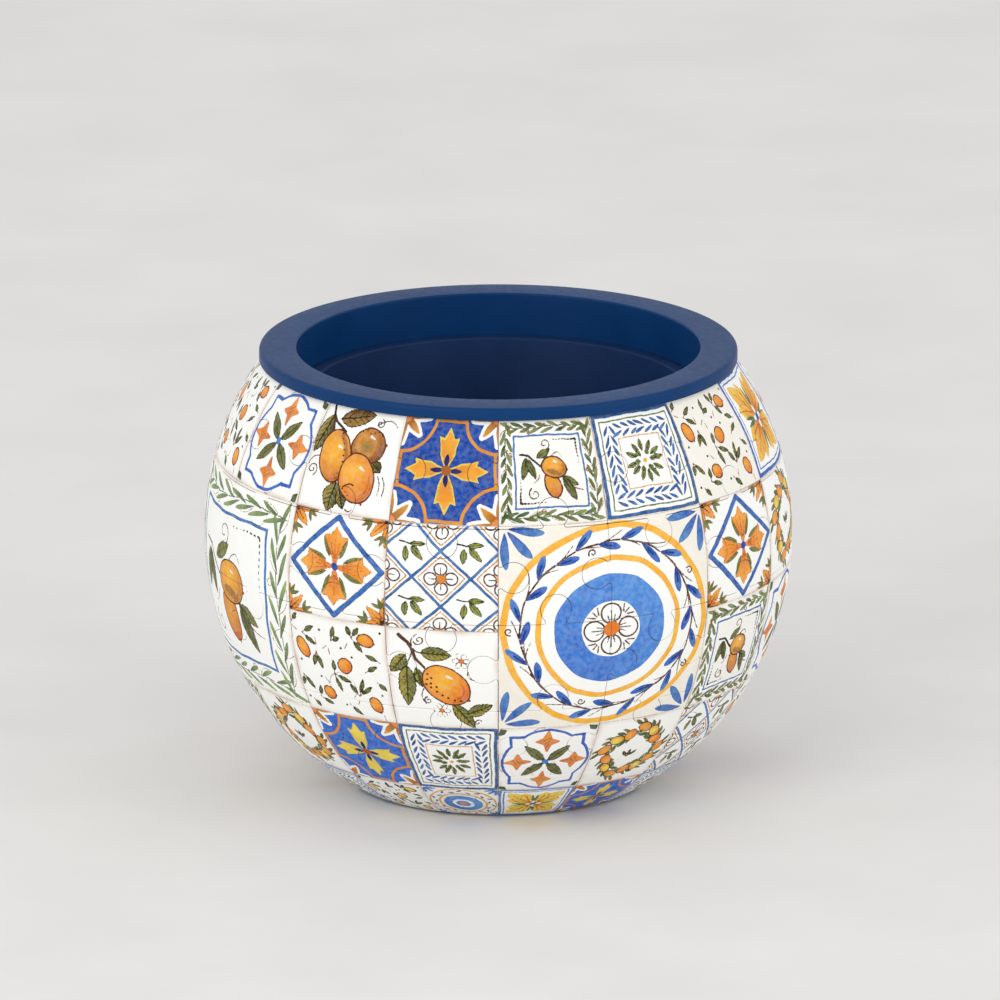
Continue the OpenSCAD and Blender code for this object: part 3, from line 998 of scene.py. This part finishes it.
def fill(path, spacing):
    """Grid points inside a closed path, and triangles over the path's points and then the grid's."""
    grid = grid_inside(path, spacing)
    points = np.concatenate([path, grid])
    inside_only, tolerance = 1, 1e-7
    made = delaunay_2d_cdt(points.tolist(), [], [list(range(len(path)))], inside_only, tolerance)
    triangles, sources = np.array(made[2]), made[3]
    origin = np.array([first[0] for first in sources])
    return grid, origin[triangles]


def piece_form(course, sides_out, points_up):
    """A piece about longitude 0, as its points' latitudes, longitudes and radii, its faces, and how many of
    these are plain, from the first one on."""
    path = outline(course, sides_out, points_up)
    n = len(path)
    rings = [inset(path, by) for by, _ in EDGE_ROUND]
    front, front_faces = fill(rings[-1], GRID)
    back, back_faces = fill(rings[0], BACK_GRID)
    flat = np.concatenate([*rings, front, back])
    depth = [np.full(n, d) for _, d in EDGE_ROUND]
    radius = BALL_R - np.concatenate([*depth, np.zeros(len(front)), np.full(len(back), WALL)])
    first_front, first_back = n * len(rings), n * len(rings) + len(front)
    printed = np.where(front_faces < n, front_faces + n * (len(rings) - 1), front_faces - n + first_front)
    inner = np.where(back_faces < n, back_faces, back_faces - n + first_back)[:, ::-1]
    near = np.arange(n)
    ahead = np.roll(near, -1)
    quads = [np.stack([near + k * n, ahead + k * n, ahead + (k + 1) * n, near + (k + 1) * n], axis=1)
             for k in range(len(rings) - 1)]
    middle = (EDGES[course - 1] + EDGES[course]) / 2
    lat = middle + flat[:, 1] / BALL_R
    lon = flat[:, 0] / (BALL_R * math.cos(middle))
    if course == 1:  # the shell's top edge is level, and every other edge is square to the ball
        level = np.arcsin(np.clip(np.sin(lat) * BALL_R / radius, -1, 1))
        lat = lat + (level - lat) * np.clip(1 - BALL_R * (EDGES[0] - lat), 0, 1)
    faces = [*quads[0].tolist(), *inner.tolist(), *np.concatenate(quads[1:]).tolist(), *printed.tolist()]
    plain = len(quads[0]) + len(inner)
    return lat, lon, radius, faces, plain


def add_object(name, data):
    """A new object in the scene."""
    thing = bpy.data.objects.new(name, data)
    bpy.context.scene.collection.objects.link(thing)
    return thing


def add_mesh(name, points, faces, materials, body="pot"):
    """A shown object from points in millimetres. It rides on a body and takes its finish from a slot."""
    mesh = bpy.data.meshes.new(name)
    mesh.from_pydata((np.asarray(points) * MM).tolist(), [], faces)
    for material in materials:
        mesh.materials.append(material)
    mesh.polygons.foreach_set("use_smooth", np.ones(len(faces), bool))
    mesh.set_sharp_from_angle(angle=SHARP)
    thing = add_object(name, mesh)
    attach(thing, body)
    return thing


def store_paint(mesh, colours, edges):
    """Puts the paint on a mesh's points: a colour for each layer, and the layers' distances as one vector."""
    count = len(mesh.vertices)
    for layer in LAYERS:
        values = np.ones((count, 4), np.float32)
        values[:, :3] = colours[layer]
        mesh.attributes.new(layer, "FLOAT_COLOR", "POINT").data.foreach_set("color", values.ravel())
    values = np.stack([edges[layer] for layer in LAYERS], axis=1).astype(np.float32)
    mesh.attributes.new("edges", "FLOAT_VECTOR", "POINT").data.foreach_set("vector", values.ravel())


def piece_node(course, column):
    """The CAD node that holds a piece."""
    single = course <= SINGLE_COURSES
    return f"course{course}_piece{column:02d}" if single else f"course{course}_pieces"


def build_pieces(printed, plain):
    """All jigsaw pieces, each in place of its CAD solid."""
    forms, places = {}, []
    for course in range(1, COURSES + 1):
        for column in range(1, COLUMNS + 1):
            kind = (course, (course + column - 1) % 2 == 1, column % 2 == 1)
            if kind not in forms:
                forms[kind] = piece_form(*kind)
            places.append((course, column, kind))
    turns = [STEP * (column - 0.5) - math.pi / 2 for _, column, _ in places]
    lats = np.concatenate([forms[kind][0] for _, _, kind in places])
    lons = np.concatenate([forms[kind][1] + turn for (_, _, kind), turn in zip(places, turns)])
    colours, edges = painted(lats, lons)
    start = 0
    for (course, column, kind), turn in zip(places, turns):
        lat, lon, radius, faces, plain_count = forms[kind]
        part = slice(start, start + len(lat))
        start = part.stop
        lon = lon + turn
        points = np.stack([np.cos(lat) * np.cos(lon), np.cos(lat) * np.sin(lon), np.sin(lat)], axis=1)
        points = points * radius[:, None] + (0, 0, CENTRE_Z)
        name = f"Piece_c{course}_{column:02d}"
        piece = add_mesh(name, points, faces, [printed, plain])
        index = np.zeros(len(faces), np.int32)
        index[:plain_count] = 1
        piece.data.polygons.foreach_set("material_index", index)
        own = [{layer: values[part] for layer, values in whole.items()} for whole in (colours, edges)]
        store_paint(piece.data, *own)
        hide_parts(piece_node(course, column))


# ---------------------------------------------------------------- materials

PLASTIC_SHINE = 0.12


class Shader:
    """A Principled material with short ways to add nodes. Sizes are in millimetres."""

    def __init__(self, name):
        self.material = bpy.data.materials.new(name)
        self.material.use_nodes = True
        self.tree = self.material.node_tree
        self.surface = self.tree.nodes["Principled BSDF"]
        self.place = self.tree.nodes.new("ShaderNodeTexCoord").outputs["Object"]

    def join(self, socket, value):
        """Links a socket to another, or gives it a plain value."""
        if isinstance(value, bpy.types.NodeSocket):
            self.tree.links.new(value, socket)
        elif isinstance(value, np.ndarray):
            socket.default_value = (*value, 1)
        else:
            socket.default_value = value

    def node(self, kind, inputs, **settings):
        """The outputs of a new node with these settings and inputs."""
        made = self.tree.nodes.new("ShaderNode" + kind)
        for name, value in settings.items():
            setattr(made, name, value)
        for name, value in inputs.items():
            self.join(made.inputs[name], value)
        return made.outputs

    def noise(self, size, low, high, detail=2.0):
        """Noise with features about that large, spread from low to high."""
        noise = self.node("TexNoise", {"Vector": self.place, "Scale": 1 / (size * MM), "Detail": detail})
        least, most = 0.3, 0.7  # where nearly all of the noise lies
        return self.remap(noise["Fac"], least, most, low, high)

    def remap(self, value, from_low, from_high, low, high, kind="LINEAR"):
        ends = {"From Min": from_low, "From Max": from_high, "To Min": low, "To Max": high}
        return self.node("MapRange", {"Value": value, **ends}, interpolation_type=kind)["Result"]

    def math(self, operation, first, second):
        return self.node("Math", {0: first, 1: second}, operation=operation)[0]

    def mix(self, factor, first, second, blend="MIX"):
        return self.node("Mix", {0: factor, 6: first, 7: second}, data_type="RGBA", blend_type=blend)[2]

    def attribute(self, name, output):
        return self.node("Attribute", {}, attribute_name=name)[output]

    def bump(self, height, depth):
        """Relief that deep where the height goes from 0 to 1."""
        normal = self.node("Bump", {"Height": height, "Distance": depth * MM})["Normal"]
        self.join(self.surface.inputs["Normal"], normal)

    def shine(self, level):
        self.surface.inputs["Specular IOR Level"].default_value = level

    def finish(self, colour, roughness):
        self.join(self.surface.inputs["Base Color"], colour)
        self.join(self.surface.inputs["Roughness"], roughness)
        return self.material


def printed_tiles():
    """The printed face: a white ground under three layers of brushwork."""
    s = Shader("Printed_Tiles")
    distances = s.node("SeparateXYZ", {0: s.attribute("edges", "Vector")})
    brush = s.noise(0.7, -0.05, 0.05)
    mottled, pooled = s.noise(1.2, 0, 1, 4.0), s.noise(2.9, 0, 1, 3.0)
    colour = s.mix(s.noise(9, 0, 1), WHITE * 0.97, WHITE * 0.93)
    thins, rims = (0.08, 0.09, 0.05), (0.2, 0.2, 0)
    for i, (layer, thin, rim) in enumerate(zip(LAYERS, thins, rims)):
        edge = s.math("ADD", distances[i], brush)
        paint = s.attribute(layer, "Color")
        if rim:  # the paint pools in places, and dries darkest along its edge
            paint = s.mix(s.remap(pooled, 0.2, 0.8, 0, 0.32), paint, paint, "MULTIPLY")
            paint = s.mix(s.remap(edge, -0.35, -0.05, 0, rim), paint, paint, "MULTIPLY")
        cover = s.remap(mottled, 0.2, 0.8, 1 - thin, 1)
        inside = s.remap(edge, 0.05, -0.05, 0, 1, "SMOOTHSTEP")
        colour = s.mix(s.math("MULTIPLY", inside, cover), colour, paint)
    grain = s.noise(0.3, 0.95, 1.0, 3.0)
    colour = s.mix(1.0, colour, s.mix(grain, rgb(0, 0, 0), rgb(255, 255, 255)), "MULTIPLY")
    s.bump(s.noise(0.5, 0, 1), 0.01)
    s.shine(PLASTIC_SHINE)
    return s.finish(colour, s.noise(3, 0.45, 0.55))


def piece_core():
    """The bare plastic of a piece's sides and back."""
    s = Shader("Piece_Core")
    s.bump(s.noise(0.7, 0, 1), 0.01)
    return s.finish(s.mix(s.noise(4, 0, 1), rgb(206, 200, 190), rgb(222, 217, 208)), s.noise(2, 0.5, 0.6))


def moulded(name, light, dark, grain, roughness):
    """Moulded plastic or rubber with a fine grain."""
    s = Shader(name)
    s.bump(s.noise(grain, 0, 1, 3.0), grain * 0.03)
    s.shine(PLASTIC_SHINE)
    return s.finish(s.mix(s.noise(14, 0, 1, 3.0), light, dark), s.noise(grain * 4, *roughness))


# ---------------------------------------------------------------- turned parts


def rounded(corners, steps=5):
    """A closed outline of (radius, height, rounding) corners, as points."""
    path = []
    for i, (x, y, r) in enumerate(corners):
        here = np.array([x, y])
        before = np.array(corners[i - 1][:2]) - here
        after = np.array(corners[(i + 1) % len(corners)][:2]) - here
        if r == 0:
            path.append([here])
        else:
            start = here + before / np.hypot(*before) * r
            end = here + after / np.hypot(*after) * r
            path.append(curve(start, here, end, steps))
    return np.concatenate(path)


def lathe(name, profile, material, body):
    """A solid turned from a closed profile, anticlockwise in radius and height, that may touch the axis."""
    points, rows, segments = [], [], 256
    angle = np.arange(segments) * math.tau / segments
    for r, z in profile:
        if r < 1e-6:
            rows.append([len(points)] * segments)
            points.append((0, 0, z))
        else:
            rows.append(list(range(len(points), len(points) + segments)))
            points += [(r * math.cos(a), r * math.sin(a), z) for a in angle]
    closed = profile[0][0] > 1e-6
    faces = []
    for i in range(len(rows) if closed else len(rows) - 1):
        low, high = rows[i], rows[(i + 1) % len(rows)]
        for k in range(segments):
            n = (k + 1) % segments
            corners = (low[k], low[n], high[n], high[k])
            faces.append(tuple(dict.fromkeys(corners)))
    return add_mesh(name, points, faces, [material], body)


def build_ring(material):
    """The blue rim ring, with its skirt, the inner pot's ledge and the lip that centres it."""
    low, high = (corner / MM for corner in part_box("rim_ring"))
    outer, top, bottom = (high.x - low.x) / 2, high.z, low.z
    mouth, ledge, skirt = 51.4, 49.4, 53.4
    under, ledge_top = top - 3.2, bottom + 1.6
    lip_in, lip_out, lip_end = 54.5, 56.3, under - 3
    profile = rounded([
        (ledge, bottom, 0.3), (skirt, bottom, 0.3), (skirt, under, 0.3), (lip_in, under, 0.3),
        (lip_in, lip_end, 0.3), (lip_out, lip_end, 0.3), (lip_out, under, 0.2), (outer, under, 0.25),
        (outer, top, 1.1), (mouth, top, 0.6), (mouth, ledge_top, 0.3), (ledge, ledge_top, 0.3)], 7)
    ring = lathe("Rim_Ring", profile, material, "pot")
    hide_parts("rim_ring")


def build_inner_pot(material):
    """The tapered pot that holds the plant, hung by its flange."""
    low, high = (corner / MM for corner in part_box("inner_pot"))
    flange, top, floor = (high.x - low.x) / 2, high.z, low.z
    wall, chamfer, foot, under = 1.6, 3, 38, top - 1.6
    neck = flange - 2
    slope = (neck - foot) / (under - floor)
    inner_foot = foot - wall + chamfer * slope
    profile = rounded([
        (0, floor, 0), (foot - chamfer, floor, 0.8), (foot, floor + chamfer, 0.8), (neck, under, 0.3),
        (flange, under, 0.3), (flange, top, 0.5), (neck - wall, top, 0.5),
        (inner_foot, floor + chamfer + wall, 0.8), (inner_foot - chamfer, floor + wall, 0.8),
        (0, floor + wall, 0)])
    pot = lathe("Inner_Pot", profile, material, "inner_pot")
    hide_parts("inner_pot")


def finish_node(node, material):
    """Gives a CAD node that stays its material."""
    thing = frame["nodes"][node]
    if not thing.material_slots:
        thing.data.materials.append(material)
    for holder in thing.material_slots:
        holder.material = material


# ---------------------------------------------------------------- the studio


def build_floor():
    """A plain pale floor, far larger than the view."""
    half = 30.0
    mesh = bpy.data.meshes.new("Floor")
    corners = [(-half, -half, 0), (half, -half, 0), (half, half, 0), (-half, half, 0)]
    mesh.from_pydata(corners, [], [(0, 1, 2, 3)])
    s = Shader("Pale_Floor")
    s.shine(0.0)
    colour = s.mix(s.noise(60, 0, 1, 4.0), rgb(228, 227, 225), rgb(234, 233, 231))
    mesh.materials.append(s.finish(colour, 0.8))
    add_object("Floor", mesh)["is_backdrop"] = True


def point_from(holder, place, direction):
    """Puts a light or the camera at a place, facing a direction."""
    holder.location = place
    holder.rotation_mode = "QUATERNION"
    holder.rotation_quaternion = direction.to_track_quat("-Z", "Y")


def add_light(name, place, size, power, target):
    """A square soft light that faces its target. Places are in metres."""
    light = bpy.data.lights.new(name, "AREA")
    light.size = size
    light.energy = power
    holder = add_object(name, light)
    holder.visible_camera = False
    point_from(holder, place, Vector(target) - Vector(place))


def build_studio():
    """The floor, an even sky and two soft lights."""
    scene = bpy.context.scene
    build_floor()
    world = bpy.data.worlds.new("Studio")
    world.use_nodes = True
    sky = world.node_tree.nodes["Background"].inputs
    sky["Color"].default_value = (1.0, 1.0, 1.0, 1)
    sky["Strength"].default_value = 0.83
    scene.world = world
    middle = (0, 0, CENTRE_Z * MM)
    add_light("Key", (-0.9, -1.2, 0.6), 1.2, 7.5, middle)
    add_light("Fill", (1.3, -0.8, 0.35), 1.2, 6, middle)
    scene.view_settings.view_transform = "Standard"


def build_camera():
    """A very long lens in front of the pot and a little above it, so that the view is nearly parallel."""
    distance, elevation, lens = 6.0, math.radians(15.6), 846.3
    lift, shift = 7.43 * MM, 0.43 * MM
    back = Vector((0, -math.cos(elevation), math.sin(elevation)))
    up = Vector((0, math.sin(elevation), math.cos(elevation)))
    aim = Vector((shift, 0, CENTRE_Z * MM)) + up * lift
    camera = bpy.data.cameras.new("Camera")
    camera.lens = lens
    holder = add_object("Camera", camera)
    point_from(holder, aim + back * distance, -back)
    bpy.context.scene.camera = holder


# ---------------------------------------------------------------- the whole scene

build_camera()
build_studio()
blue = moulded("Blue_Plastic", rgb(8, 58, 110), rgb(6, 52, 102), 0.35, (0.38, 0.46))
build_pieces(printed_tiles(), piece_core())
build_ring(blue)
build_inner_pot(moulded("Inner_Plastic", rgb(24, 50, 92), rgb(20, 44, 84), 0.5, (0.45, 0.55)))
finish_node("base_plate", blue)
rubber = moulded("Foot_Rubber", rgb(48, 48, 50), rgb(40, 40, 42), 0.4, (0.7, 0.8))
finish_node("rubber_feet", rubber)

sizes = {"cad": CAD_BOX, "visual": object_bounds()}
{name: [list(corner) for corner in box] for name, box in sizes.items()}
